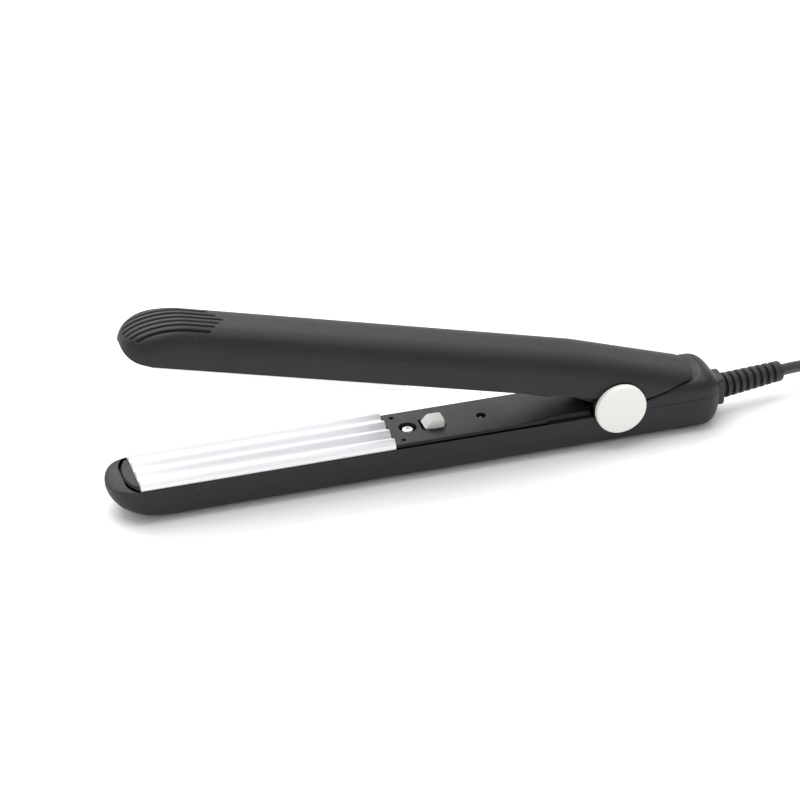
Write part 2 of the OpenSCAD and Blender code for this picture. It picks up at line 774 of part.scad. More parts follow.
// From the top of the hank it climbs to the plug.
cord_out = [[hank_x0 - 0.5, hank_out_y, hank_top_z], [hank_x0 + 5, hank_out_y - 0.2, hank_top_z + 0.3],
    [hank_x0 + 10.5, hank_out_y - 1.2, hank_top_z + 1.3],
    [hank_x0 + 16, hank_out_y - 3.1, hank_top_z + 3],
    [hank_x0 + 21.5, hank_out_y - 5.6, hank_top_z + 5.2],
    [hank_x0 + 27, plug_y + 2.6, plug_z + plug_t / 2 - 2],
    [hank_x0 + 32, plug_y + 0.7, plug_z + plug_t / 2 - 0.5],
    [hank_x0 + 37, plug_y, plug_z + plug_t / 2],
    [hank_x0 + 40, plug_y, plug_z + plug_t / 2]];

function unit(v) = v / norm(v);
function along(p, t) = let (n = len(p) - 1, i = min(floor(t), n - 1), f = t - i,
    a = i > 0 ? p[i - 1] : 2 * p[0] - p[1], b = p[i], c = p[i + 1],
    d = i + 2 <= n ? p[i + 2] : 2 * p[n] - p[n - 1])
    b + f / 2 * (c - a) + f * f * (a - 2.5 * b + 2 * c - d / 2)
    + f * f * f * (1.5 * b - a / 2 - 1.5 * c + d / 2);
function cord_ring(p, t) = let (c = along(p, t), n = len(p) - 1,
    heading = unit(along(p, min(t + 0.05, n)) - along(p, max(t - 0.05, 0))),
    side = unit(cross([0, 0, 1], heading)), up = cross(heading, side))
    [for (j = [0:7]) let (a = 45 * j + 22.5)
        c + cord_d / 2 * (cos(a) * side + sin(a) * up)];
module lead(p) {
    n = len(p) - 1;
    tube([for (i = [0:n]) cord_ring(p, i)]);
}

module power_cord() {
    color([0.25, 0.25, 0.27]) union() {
        lead(cord_in);
        lead(cord_out);
    }
}

// Outline of the hank at radius r round the ends of its runs.
function track(r) = concat(
    [for (i = [0:24]) let (a = 90 - 7.5 * i) [hank_x1 + r * cos(a), r * sin(a)]],
    [for (i = [0:24]) let (a = 270 - 7.5 * i) [hank_x0 + r * cos(a), r * sin(a)]]);

module cord_hank() {
    color([0.25, 0.25, 0.27]) translate([0, 0, tie_t]) linear_extrude(hank_h) difference() {
        polygon(track(hank_w / 2));
        polygon(track(hank_in_r - cord_d / 2));
    }
}

// A strap round both runs.
module cord_tie() {
    color([0.12, 0.12, 0.13]) translate([(hank_x0 + hank_x1) / 2, 0, 0]) difference() {
        translate([-5, -hank_w / 2 - tie_t, 0]) cube([10, hank_w + 2 * tie_t, plug_z]);
        translate([-6, -hank_w / 2 - 0.02, tie_t - 0.02])
            cube([12, hank_w + 0.04, hank_h + 0.04]);
    }
}

module plug_body() {
    color([0.2, 0.2, 0.21]) translate([plug_x, plug_y, plug_z]) mirror([1, 0, 0]) difference() {
        union() {
            linear_extrude(plug_t) polygon([[0, -plug_w / 2], [plug_waist, -plug_w / 2],
                [plug_l, -plug_w / 4], [plug_l, plug_w / 4], [plug_waist, plug_w / 2],
                [0, plug_w / 2]]);
            translate([plug_l - eps, 0, plug_t / 2]) rotate([0, 90, 0])
                cylinder(h = plug_tail, r1 = 4.5, r2 = 3.2, $fn = small_fn);
        }
        translate([plug_l, 0, plug_t / 2]) rotate([0, 90, 0])
            cylinder(h = 2 * plug_tail, d = cord_d, $fn = small_fn);
        for (s = [-1, 1]) translate([-eps, s * plug_pin_pitch / 2, plug_t / 2])
            rotate([0, 90, 0]) cylinder(h = plug_root_l + eps, d = plug_root_d, $fn = small_fn);
    }
}

module plug_pins() {
    color([0.85, 0.84, 0.8]) for (s = [-1, 1])
        translate([plug_x - plug_root_l, plug_y + s * plug_pin_pitch / 2, plug_z + plug_t / 2])
            rotate([0, 90, 0]) union() {
                translate([0, 0, plug_root_l]) cylinder(h = plug_pin_l, d = plug_pin_d,
                    $fn = small_fn);
                cylinder(h = plug_pin_l + plug_root_l, d = plug_root_d, $fn = small_fn);
            }
}

lower_shell();
rear_cover();
lower_frame();
lower_plate();
lower_heater();
lower_heater_film();
lower_heater_clip();
thermal_fuse();
switch_body();
switch_terminals();
switch_knob();
indicator_lamp();
lamp_board();
lower_frame_screw();
rear_cover_screws();
cord_clamp();
clamp_screws();
lower_wires();
hinge_pin();
hinge_washers();
pivot_cap_near();
pivot_cap_far();
torsion_spring();
upper_shell();
upper_frame();
upper_plate();
upper_heater();
upper_heater_film();
upper_heater_clip();
upper_frame_screw();
upper_wires();
strain_relief();
power_cord();
cord_hank();
cord_tie();
plug_body();
plug_pins();
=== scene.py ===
import json
import math

import bmesh
import bpy
import numpy as np
from mathutils import Matrix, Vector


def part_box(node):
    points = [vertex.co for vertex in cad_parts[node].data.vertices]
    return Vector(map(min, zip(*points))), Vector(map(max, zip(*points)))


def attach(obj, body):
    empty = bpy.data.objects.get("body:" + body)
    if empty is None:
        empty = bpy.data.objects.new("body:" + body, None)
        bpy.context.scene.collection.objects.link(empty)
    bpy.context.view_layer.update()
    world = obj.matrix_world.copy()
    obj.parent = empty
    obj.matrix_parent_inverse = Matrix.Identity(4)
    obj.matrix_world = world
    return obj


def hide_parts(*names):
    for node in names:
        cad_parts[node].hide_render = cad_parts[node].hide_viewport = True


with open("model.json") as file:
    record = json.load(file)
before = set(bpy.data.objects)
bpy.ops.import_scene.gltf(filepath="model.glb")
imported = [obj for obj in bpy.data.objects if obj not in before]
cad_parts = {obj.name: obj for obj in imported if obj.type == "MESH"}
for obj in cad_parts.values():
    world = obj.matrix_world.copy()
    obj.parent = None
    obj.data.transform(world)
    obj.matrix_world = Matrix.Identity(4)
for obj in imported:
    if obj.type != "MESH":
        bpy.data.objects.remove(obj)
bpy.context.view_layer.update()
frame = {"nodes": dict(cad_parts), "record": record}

# Looks of the hair crimper. Lengths in this script are millimetres and angles are degrees,
# except where a line says otherwise. A mesh is turned into metres when it is made.
MM = 0.001


# ---- Measures taken from the frame ----

def low_high(node):
    """Lowest and highest corner of a CAD node, in millimetres."""
    low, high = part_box(node)
    return np.array(low) / MM, np.array(high) / MM


def middle(node):
    """Middle of a CAD node's box, in millimetres."""
    low, high = low_high(node)
    return (low + high) / 2


SHELL_LOW, SHELL_HIGH = low_high("lower_shell")
HOUSING_LOW, HOUSING_HIGH = low_high("rear_cover")
PLATE_LOW, PLATE_HIGH = low_high("lower_plate")
DECK_LOW, DECK_HIGH = low_high("lower_frame")
KNOB_LOW, KNOB_HIGH = low_high("switch_knob")
PIN = middle("hinge_pin")
SCREW = middle("lower_frame_screw")
LAMP = middle("indicator_lamp")
NOSE_X, REAR_X, HALF_W = SHELL_LOW[0], SHELL_HIGH[0], SHELL_HIGH[1]
ARM_H = HOUSING_LOW[2]
HALF_GAP = PIN[2] - ARM_H
JOINTS = {j["name"]: j for j in frame["record"]["behaviour"]["joints"]}
OPEN = math.radians(JOINTS["arm_hinge"]["range_deg"][1])

# Section of an arm: wall, exponent of its superellipse and rounding of its rim.
WALL = 1.6
SECTION_POWER = 3.8
RIM_ROUND = 0.22

# Nose: its length from above and from the side, height of its tip, exponents of both
# curves, and where the hollow starts.
NOSE_L = 10.5
NOSE_SLOPE_L = 18.5
NOSE_LIP = 2.5
PLAN_POWER = 2.2
SLOPE_POWER = 1.8
HOLLOW_FROM = 7.3

# Rear rounding, fall and rounding of the upper arm's tail, hinge ear and the cut round it.
REAR_R = 6.5
TAIL_RUN = 15
TAIL_DROP = 3.7
TAIL_ROUND = 8
EAR_R = 8
CUT_R = 8.4

# Scoop of the rear housing behind the tail: its length, rise and exponent.
SCOOP_L = 6
SCOOP_RISE = 4.5
SCOOP_POWER = 1.6

# Seam between the tail and the rear housing, along and up from the pin, arms open.
SEAM = np.array([[8.2, 0.7], [10.7, 1.3], [13.4, 1.9], [16.7, 2.8], [19.2, 3.7],
    [21.7, 4.1], [24.3, 4.1], [27, 3.8]])

# How far the tail's edge stays above the seam, and the housing's shelf below it.
TAIL_GAP = 0.3
SHELF_GAP = 0.35

# The lead's width, and its height where it goes through the housing.
CORD_D = 3.8
CORD_Z = middle("cord_clamp")[2] - 2.1


# ---- Camera ----

CAMERA_AZ = math.radians(-17.349)
CAMERA_EL = math.radians(31.381)
CAMERA_AT = (-0.25146, -0.7874, 0.5265)
CAMERA_LENS = 141.715


def camera():
    """Looks down at the near side from a little left of square on. CAMERA_AT is in metres."""
    az, el = CAMERA_AZ, CAMERA_EL
    back = np.array([math.sin(az) * math.cos(el), -math.cos(az) * math.cos(el), math.sin(el)])
    right = np.array([math.cos(az), math.sin(az), 0])
    up = np.cross(back, right)
    data = bpy.data.cameras.new("camera")
    data.sensor_width = 36
    data.lens = CAMERA_LENS
    data.clip_end = 20
    obj = bpy.data.objects.new("camera", data)
    bpy.context.collection.objects.link(obj)
    turn = Matrix(np.stack([right, up, back], axis=1).tolist()).to_4x4()
    obj.matrix_world = Matrix.Translation(CAMERA_AT) @ turn
    bpy.context.scene.camera = obj


# ---- Making a mesh ----

def smooth(t):
    """0 up to 0, 1 from 1, and 3t^2 - 2t^3 between."""
    t = np.clip(t, 0, 1)
    return t * t * (3 - 2 * t)


def skin(rings, closed=False):
    """Points and faces of one closed skin. rings is a grid (station, place round it, xyz).
    Each ring joins the next, and the two end rings are filled, or joined if closed. The
    sum of the faces' signed volumes says which way round they go."""
    m, n = rings.shape[:2]
    i, j = np.meshgrid(np.arange(m if closed else m - 1), np.arange(n), indexing="ij")
    i2, j2 = (i + 1) % m, (j + 1) % n
    quads = np.stack([i * n + j, i * n + j2, i2 * n + j2, i2 * n + j], axis=-1)
    quads = quads.reshape(-1, 4)
    points = rings.reshape(-1, 3)
    a, b, c, d = (points[quads[:, k]] - points.mean(axis=0) for k in range(4))
    volume = np.einsum("ij,ij->", a, np.cross(b, c)) + np.einsum("ij,ij->", a, np.cross(c, d))
    faces = quads.tolist()
    if not closed:
        faces.append(list(range(n))[::-1])
        faces.append(list(range((m - 1) * n, m * n)))
    if volume < 0:
        faces = [f[::-1] for f in faces]
    return points, faces


def piece(name, body, material, skins, nodes=(), sharp=38):
    """Puts skins into one named mesh, joins doubled points and sets body, slot and nodes."""
    points, faces = [], []
    start = 0
    for one_points, one_faces in skins:
        points.append(one_points)
        faces += [[k + start for k in f] for f in one_faces]
        start += len(one_points)
    mesh = bpy.data.meshes.new(name)
    mesh.from_pydata((np.concatenate(points) * MM).tolist(), [], faces)
    tidy = bmesh.new()
    tidy.from_mesh(mesh)
    bmesh.ops.remove_doubles(tidy, verts=tidy.verts, dist=2e-6)
    bmesh.ops.dissolve_degenerate(tidy, edges=tidy.edges, dist=1e-7)
    tidy.to_mesh(mesh)
    tidy.free()
    mesh.shade_smooth()
    mesh.set_sharp_from_angle(angle=math.radians(sharp))
    mesh.materials.append(material)
    obj = bpy.data.objects.new(name, mesh)
    bpy.context.collection.objects.link(obj)
    if nodes:
        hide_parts(*nodes)
    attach(obj, body)
    return obj


def lower_place(p):
    """From an arm's own frame, plate side at 0 and back upward, to the lower arm."""
    return np.stack([p[..., 0], p[..., 1], ARM_H - p[..., 2]], axis=-1)


def upper_place(p):
    """From an arm's own frame to the upper arm, sprung open about the pin."""
    u, w = p[..., 0] - PIN[0], p[..., 2] + HALF_GAP
    x = PIN[0] + u * math.cos(OPEN) + w * math.sin(OPEN)
    z = PIN[2] - u * math.sin(OPEN) + w * math.cos(OPEN)
    return np.stack([x, p[..., 1], z], axis=-1)


def ring_of(x, y, z):
    """Stacks three grids of one shape, or numbers, into points."""
    x, y, z = np.broadcast_arrays(x, y, z)
    return np.stack([x, y, z], axis=-1)


def oval(count, power=2):
    """Unit superellipse |a|^n + |b|^n = 1, as (count, 2), evenly spaced in direction."""
    t = np.arange(count) * 2 * math.pi / count
    c, s = np.cos(t), np.sin(t)
    r = (np.abs(c) ** power + np.abs(s) ** power) ** (-1 / power)
    return np.stack([c * r, s * r], axis=-1)


def stack(half_a, half_b, power, levels, count=96):
    """Rings of a superellipse outline carried up through levels (height, inset from the
    outline), with both ends drawn in to a point. Gives points (a, b, height)."""
    levels = np.array(levels, dtype=float)
    inset = np.minimum(levels[:, 1], min(half_a, half_b))
    o = oval(count, power)
    a = (half_a - inset)[:, None] * o[None, :, 0]
    b = (half_b - inset)[:, None] * o[None, :, 1]
    return ring_of(a, b, levels[:, 0][:, None])


def rounded_levels(z0, z1, edge0, edge1, half, steps=5):
    """Levels for stack: from the middle of the floor, round its edge, up and over."""
    t = np.linspace(0, math.pi / 2, steps + 1)
    low = [(z0, half)] + [(z0, half * k) for k in (0.66, 0.33)]
    low += [(z0 + edge0 * (1 - math.cos(a)), edge0 * (1 - math.sin(a))) for a in t]
    high = [(z1 - edge1 * (1 - math.sin(a)), edge1 * (1 - math.cos(a))) for a in t]
    return low + high + [(z1, half * k) for k in (0.33, 0.66)] + [(z1, half)]


# ---- Finishes ----

ROUGH_DRIFT = 0.06


def finish(name, colour, rough, metal=0.0, grain=2600, bump=0.15, drift=0.08,
           specks=0.0, streak=None, gloss=0.5, coat=0.0):
    """A surface from noise on Object coordinates: colour drifts by a broad noise, roughness
    by a middling one, and a fine one gives the moulded grain. specks adds dust."""
    mat = bpy.data.materials.new(name)
    mat.use_nodes = True
    nodes, links = mat.node_tree.nodes, mat.node_tree.links
    shader = nodes["Principled BSDF"]
    shader.inputs["Metallic"].default_value = metal
    shader.inputs["Specular IOR Level"].default_value = gloss
    shader.inputs["Coat Weight"].default_value = coat
    shader.inputs["Coat Roughness"].default_value = 0.25
    where = nodes.new("ShaderNodeTexCoord")
    turn = nodes.new("ShaderNodeMapping")
    turn.inputs["Scale"].default_value = streak or (1, 1, 1)
    links.new(where.outputs["Object"], turn.inputs["Vector"])

    def noise(scale, detail):
        node = nodes.new("ShaderNodeTexNoise")
        node.inputs["Scale"].default_value = scale
        node.inputs["Detail"].default_value = detail
        links.new(turn.outputs["Vector"], node.inputs["Vector"])
        return node.outputs["Fac"]

    tint = nodes.new("ShaderNodeValToRGB")
    for stop, place, lift in zip(tint.color_ramp.elements, (0.3, 0.7), (1 - drift, 1 + drift)):
        stop.position = place
        stop.color = (*(min(c * lift, 1) for c in colour), 1)
    links.new(noise(60, 4), tint.inputs["Fac"])
    base = tint.outputs["Color"]
    if specks:
        dust = nodes.new("ShaderNodeTexVoronoi")
        dust.inputs["Scale"].default_value = 210
        links.new(where.outputs["Object"], dust.inputs["Vector"])
        spot = nodes.new("ShaderNodeMapRange")
        spot.inputs["From Min"].default_value = 0.05
        spot.inputs["From Max"].default_value = 0.025
        spot.inputs["To Max"].default_value = specks
        links.new(dust.outputs["Distance"], spot.inputs["Value"])
        mix = nodes.new("ShaderNodeMix")
        mix.data_type = "RGBA"
        links.new(spot.outputs["Result"], mix.inputs["Factor"])
        links.new(base, mix.inputs["A"])
        mix.inputs["B"].default_value = (0.4, 0.4, 0.4, 1)
        base = mix.outputs["Result"]
    links.new(base, shader.inputs["Base Color"])
    sheen = nodes.new("ShaderNodeMapRange")
    sheen.inputs["To Min"].default_value = rough - ROUGH_DRIFT
    sheen.inputs["To Max"].default_value = rough + ROUGH_DRIFT
    links.new(noise(350, 3), sheen.inputs["Value"])
    links.new(sheen.outputs["Result"], shader.inputs["Roughness"])
    pit = nodes.new("ShaderNodeBump")
    pit.inputs["Strength"].default_value = bump
    pit.inputs["Distance"].default_value = 0.00006
    links.new(noise(grain, 2), pit.inputs["Height"])
    links.new(pit.outputs["Normal"], shader.inputs["Normal"])
    return mat


def black_plastic():
    return finish("matt_black_shell", (0.0075, 0.0068, 0.0098), 0.46, bump=0.35, drift=0.2,
        specks=0.16, gloss=0.37)


def deck_plastic():
    return finish("charcoal_deck", (0.0165, 0.017, 0.0195), 0.45, bump=0.35, drift=0.15,
        specks=0.14, gloss=0.27)


def plate_metal():
    return finish("pale_crimp_plate", (0.87, 0.88, 0.895), 0.36, metal=0.35,
        grain=1500, bump=0.08, drift=0.03, streak=(0.15, 1, 1))


def cap_plastic():
    return finish("ivory_cap", (0.81, 0.8, 0.765), 0.42, bump=0.12, drift=0.02)


def knob_plastic():
    return finish("warm_grey_knob", (0.8, 0.775, 0.74), 0.45, bump=0.2, drift=0.04)


def zinc():
    return finish("zinc_screw", (0.78, 0.78, 0.76), 0.28, metal=1.0, grain=900, bump=0.2)


def lead_rubber():
    return finish("black_lead", (0.02, 0.0215, 0.025), 0.3, grain=1800, bump=0.12, coat=0.1)


def boot_rubber():
    return finish("black_boot", (0.012, 0.012, 0.0125), 0.5, grain=2000, bump=0.3)


HIDDEN_FINISHES = {
    "spring_steel": ((0.5, 0.5, 0.52), 0.3, 1.0),
    "heater_ceramic": ((0.75, 0.72, 0.66), 0.7, 0.0),
    "film": ((0.7, 0.36, 0.08), 0.35, 0.0),
    "board": ((0.05, 0.2, 0.08), 0.5, 0.0),
    "brass_contact": ((0.72, 0.52, 0.22), 0.3, 1.0),
    "wire_sleeve": ((0.12, 0.012, 0.01), 0.45, 0.0),
    "tie_strap": ((0.02, 0.02, 0.021), 0.6, 0.0),
    "pin_plated": ((0.82, 0.81, 0.77), 0.2, 1.0),
}


def hidden_finish(slot):
    """Finish of a slot whose nodes are inside the arms or are small hardware."""
    colour, rough, metal = HIDDEN_FINISHES[slot]
    return finish(slot + "_finish", colour, rough, metal=metal, grain=1200, bump=0.15)


def lamp_lens():
    """Dark red lens, unlit, so nearly black."""
    return finish("dark_red_lens", (0.03, 0.004, 0.004), 0.15, bump=0.03, coat=0.5)


# ---- Lead: boot end, hank and plug ----

HANK_LOW, HANK_HIGH = low_high("cord_hank")
HANK_OUT_R = (HANK_HIGH[1] - HANK_LOW[1]) / 2
HANK_X0, HANK_X1 = HANK_LOW[0] + HANK_OUT_R, HANK_HIGH[0] - HANK_OUT_R
HANK_R = HANK_OUT_R - CORD_D / 2
HANK_Z = HANK_LOW[2] + CORD_D / 2
HANK_TOP_Z = HANK_HIGH[2] - CORD_D / 2
HANK_TURNS = 7
PLUG_LOW, PLUG_HIGH = low_high("plug_body")
PLUG_Y, PLUG_Z = (PLUG_LOW[1] + PLUG_HIGH[1]) / 2, (PLUG_LOW[2] + PLUG_HIGH[2]) / 2

# The lead's way down from the boot, measured from the rear face, and up to the plug,
# measured from the start of the hank's runs.
LEAD_IN = [[REAR_X + x, y, z] for x, y, z in (
    (24.3, 3.2, CORD_Z), (28, 3.8, CORD_Z - 0.1), (32, 4.8, CORD_Z - 0.6),
    (36, 6.2, CORD_Z - 1.6), (40, 7.9, CORD_Z - 2.9), (44.5, 9.9, CORD_Z - 4.3),
    (49.5, 11.9, CORD_Z - 5.6), (55.5, 13.7, CORD_Z - 6.4), (62, 14.8, HANK_Z + 0.1),
    (69, HANK_R, HANK_Z), (74.5, HANK_R, HANK_Z))]
LEAD_OUT = [[HANK_X0 + x, y, z] for x, y, z in (
    (1, HANK_R, HANK_TOP_Z), (5, HANK_R - 0.2, HANK_TOP_Z + 0.3),
    (10.5, HANK_R - 1.2, HANK_TOP_Z + 1.3), (16, HANK_R - 3.1, HANK_TOP_Z + 3),
    (21.5, HANK_R - 5.6, HANK_TOP_Z + 5.2), (27, PLUG_Y + 2.6, PLUG_Z - 2),
    (32, PLUG_Y + 0.7, PLUG_Z - 0.5), (37, PLUG_Y, PLUG_Z), (40, PLUG_Y, PLUG_Z))]

# Where turn k of the hank moves to its next place: start and width, counted 0 to 1 along
# the first run, 1 to 2 round its end, 2 to 3 back, 3 to 4 round again.
MOVES = ((2.75, 0.25), (2.5, 0.25), (2.25, 0.25), (2.0, 0.25), (0.67, 0.31), (0.35, 0.31),
    (0.03, 0.31))


def hank_path():
    """Turns of a long loop: out along one side, half a circle, back and half a circle.
    Turn k lies at one place of the section and moves to the next, (1 - cos) / 2 of the
    way, once the turn above has left it: in, up, out, up, in, up, out."""
    corner = np.concatenate([np.linspace(0, 1, 27)[:-1], np.linspace(1, 2, 25)[:-1],
        np.linspace(2, 3, 33)[:-1], np.linspace(3, 4, 25)[:-1]])
    along = (corner[None, :] + 4 * np.arange(HANK_TURNS)[:, None]).ravel()
    turn = (along // 4).astype(int)
    s = along - 4 * turn
    start, width = np.array(MOVES).T
    share = np.clip((s - start[turn]) / width[turn], 0, 1)
    share = (1 - np.cos(math.pi * share)) / 2
    place = np.arange(HANK_TURNS + 1)
    row, col = place // 2, place % 2
    col = np.where(row % 2 == 0, col, 1 - col)
    r = HANK_R - CORD_D * (col[turn] + (col[turn + 1] - col[turn]) * share)
    z = HANK_Z + CORD_D * (row[turn] + (row[turn + 1] - row[turn]) * share)
    run = HANK_X1 - HANK_X0
    turned = np.where(s < 2, np.clip(s - 1, 0, 1), np.clip(s - 2, 1, 2)) * math.pi
    turned = np.where(s < 2, turned, math.pi + math.pi * np.clip(s - 3, 0, 1))
    base = np.where(s < 1, HANK_X0 + run * s, np.where(s < 2, HANK_X1,
        np.where(s < 3, HANK_X1 - run * (s - 2), HANK_X0)))
    return np.stack([base + r * np.sin(turned), r * np.cos(turned), z], axis=-1)


def through(points, per_span):
    """Smooth curve through the points: cubic of each span from its four neighbours."""
    p = np.array(points, dtype=float)
    p = np.concatenate([[2 * p[0] - p[1]], p, [2 * p[-1] - p[-2]]])
    f = np.arange(per_span)[None, :, None] / per_span
    a, b, c, d = (p[k:len(p) - 3 + k, None, :] for k in range(4))
    spans = b + f / 2 * (c - a) + f**2 * (a - 2.5 * b + 2 * c - d / 2)
    spans = spans + f**3 * (1.5 * b - a / 2 - 1.5 * c + d / 2)
    return np.concatenate([spans.reshape(-1, 3), p[-2:-1]])


def tube(path, radius, count=14):
    """Circle carried along a path that is never upright. Side = up x heading."""
    ahead = np.gradient(path, axis=0)
    ahead /= np.linalg.norm(ahead, axis=1)[:, None]
    side = np.cross([0, 0, 1], ahead)
    side /= np.linalg.norm(side, axis=1)[:, None]
    up = np.cross(ahead, side)
    t = np.arange(count) * 2 * math.pi / count
    rim = np.cos(t)[None, :, None] * side[:, None] + np.sin(t)[None, :, None] * up[:, None]
    return path[:, None] + np.broadcast_to(radius, (len(path),))[:, None, None] * rim


def plug_skin():
    """Superellipse sections along x: full width to the waist, then tapering to a ribbed
    neck. The exponent falls from 5 to 2, and the face's edge is rounded."""
    low, high = PLUG_LOW, PLUG_HIGH
    half_y, half_z = (high[1] - low[1]) / 2, (high[2] - low[2]) / 2
    x = np.concatenate([np.linspace(0, 1.5, 8), np.linspace(2, 35, 50), np.linspace(35.3, 46.99, 70)])
    edge = 1.5 * (1 - np.sqrt(1 - (1 - np.clip(x / 1.5, 0, 1)) ** 2))
    taper = smooth((x - 16) / 20)
    neck = 4.5 - 1.3 * np.clip((x - 35) / 12, 0, 1)
    neck = neck - 0.5 * (x > 37) * (0.5 - 0.5 * np.cos((x - 37) * 2 * math.pi / 2.4))
    wide = (half_y - edge) * (1 - taper) + neck * taper
    thick = (half_z - edge) * (1 - taper) + neck * taper
    power = 5 - 3 * taper
    t = np.arange(72) * 2 * math.pi / 72
    c, s = np.cos(t)[None, :], np.sin(t)[None, :]
    r = (np.abs(c) ** power[:, None] + np.abs(s) ** power[:, None]) ** (-1 / power[:, None])
    y = (low[1] + high[1]) / 2 + wide[:, None] * c * r
    z = (low[2] + high[2]) / 2 + thick[:, None] * s * r
    return skin(ring_of(high[0] - x[:, None], y, z))


def plug_pin_skin(side):
    """Round pin with a domed tip, carried along x."""
    low, high = low_high("plug_pins")
    y = (low[1] + high[1]) / 2 + side * (high[1] - low[1] - 4) / 2
    length = high[0] - PLUG_HIGH[0] + 0.5
    p = stack(2, 2, 2, rounded_levels(0, length, 1.4, 0.2, 2), 40)
    return skin(ring_of(high[0] - p[..., 2], y + p[..., 0], (low[2] + high[2]) / 2 + p[..., 1]))


def strap_skin():
    """Flat band with rounded edges, carried round a rounded square."""
    low, high = low_high("cord_tie")
    mid = (low + high) / 2
    half = (high - low) / 2
    t = np.arange(240) * 2 * math.pi / 240
    c, s = np.cos(t), np.sin(t)
    r = (np.abs(c) ** 12 + np.abs(s) ** 12) ** (-1 / 12)
    band = [(-1, 0.15), (-0.96, 0), (0.96, 0), (1, 0.15), (1, 0.4), (0.96, 0.55),
        (-0.96, 0.55), (-1, 0.4)]
    x = np.array([mid[0] + half[0] * k for k, _ in band])
    inset = np.array([k for _, k in band])
    y = mid[1] + (half[1] - inset)[None, :] * (c * r)[:, None]
    z = mid[2] + (half[2] - inset)[None, :] * (s * r)[:, None]
    return skin(ring_of(x[None, :], y, z), closed=True)


def lead(rubber, plug_rubber, pin_metal, strap):
    """The whole lead on one curve: from the boot, down to the table, hank, plug."""
    path = np.concatenate([through(LEAD_IN, 3)[:-1], hank_path(), through(LEAD_OUT, 3)])
    cord = piece("lead", "lower_arm", rubber,
        [skin(tube(path, CORD_D / 2))], ("power_cord", "cord_hank"))
    plug = piece("plug", "lower_arm", plug_rubber, [plug_skin()], ("plug_body",))
    pins = piece("plug_prongs", "lower_arm", pin_metal,
        [plug_pin_skin(-1), plug_pin_skin(1)], ("plug_pins",))
    band = piece("hank_strap", "lower_arm", strap, [strap_skin()], ("cord_tie",))


# ---- Arm shells ----

def arch(half, height, floor, power, share):
    """Superellipse |y/half|^n + |z/height|^n = 1 above z = floor, for each station. share
    runs 0 to 1 along the edges of the box round it: up one side, over, down the other.
    A place q on that box is drawn in to the curve by q / (|qy|^n + |qz|^n)^(1/n)."""
    part = np.clip(floor / height, 0, 0.99999)
    q = part / (1 - part**power) ** (1 / power)
    start = np.where(q <= 1, q, 2 - 1 / np.maximum(q, 1))[:, None]
    s = start + (4 - 2 * start) * share[None, :]
    qy = np.where(s < 1, 1, np.where(s > 3, -1, 2 - s))
    qz = np.where(s < 1, s, np.where(s > 3, 4 - s, 1))
    r = (np.abs(qy) ** power + np.abs(qz) ** power) ** (-1 / power)
    return half[:, None] * qy * r, height[:, None] * qz * r


def shares():
    """Places round an arch: close together at its feet and over its grooved back."""
    foot = np.array([0, 0.002, 0.005, 0.009, 0.014, 0.02, 0.03, 0.045])
    side = np.linspace(0.065, 0.235, 12)
    back = np.linspace(0.24, 0.76, 140)
    return np.concatenate([foot, side, back, 1 - side[::-1], 1 - foot[::-1]])


# Grooves of the nose: distance apart, half width, depth, length of the middle one, and
# how much shorter each is than the one inside it.
GROOVE_PITCH = 2.3
GROOVE_HALF = 0.62
GROOVE_DEEP = 0.9
GROOVE_L = 30.5
GROOVE_STEP = 1.8


def groove_depth(x, y):
    """Seven long grooves: depth (1 - t^2)^2 across each, t from its middle to its edge,
    eased in at both ends. A groove further out is shorter."""
    k = np.clip(np.round(y / GROOVE_PITCH), -3, 3)
    t = np.clip(np.abs(y - k * GROOVE_PITCH) / GROOVE_HALF, 0, 1)
    outline = NOSE_L * (1 - np.sqrt(np.clip(1 - (y / HALF_W) ** 2, 0, 1)))
    ahead = (x - NOSE_X - outline - 0.5) / 0.7
    behind = (NOSE_X + GROOVE_L - GROOVE_STEP * np.abs(k) - x) / 0.5
    return GROOVE_DEEP * (1 - t * t) ** 2 * smooth(ahead) * smooth(behind)


def arm_profile(x):
    """Half width and height of an arm's outline along x, from its rounded nose:
    (1 - t)^2.2 + half^2.2 = 1 seen from above, (1 - t)^1.8 + rise^1.8 = 1 from the side."""
    t = np.clip((x - NOSE_X) / NOSE_L, 0, 1)
    half = HALF_W * (1 - (1 - t) ** PLAN_POWER) ** (1 / PLAN_POWER)
    t = np.clip((x - NOSE_X) / NOSE_SLOPE_L, 0, 1)
    height = NOSE_LIP + (ARM_H - NOSE_LIP) * (1 - (1 - t) ** SLOPE_POWER) ** (1 / SLOPE_POWER)
    return half, height


def nose_floor(x):
    """Quarter ellipse that runs up from the plate side to the nose's tip."""
    t = np.clip(1 - (x - NOSE_X) / (2 * NOSE_LIP), 0, 1)
    return NOSE_LIP * (1 - np.sqrt(1 - t**2))


def nose_stations():
    """Stations along the nose, closer together towards its tip."""
    return NOSE_X + np.concatenate([3 * np.linspace(0, 1, 22) ** 2.2, np.arange(3.25, 31, 0.27)])


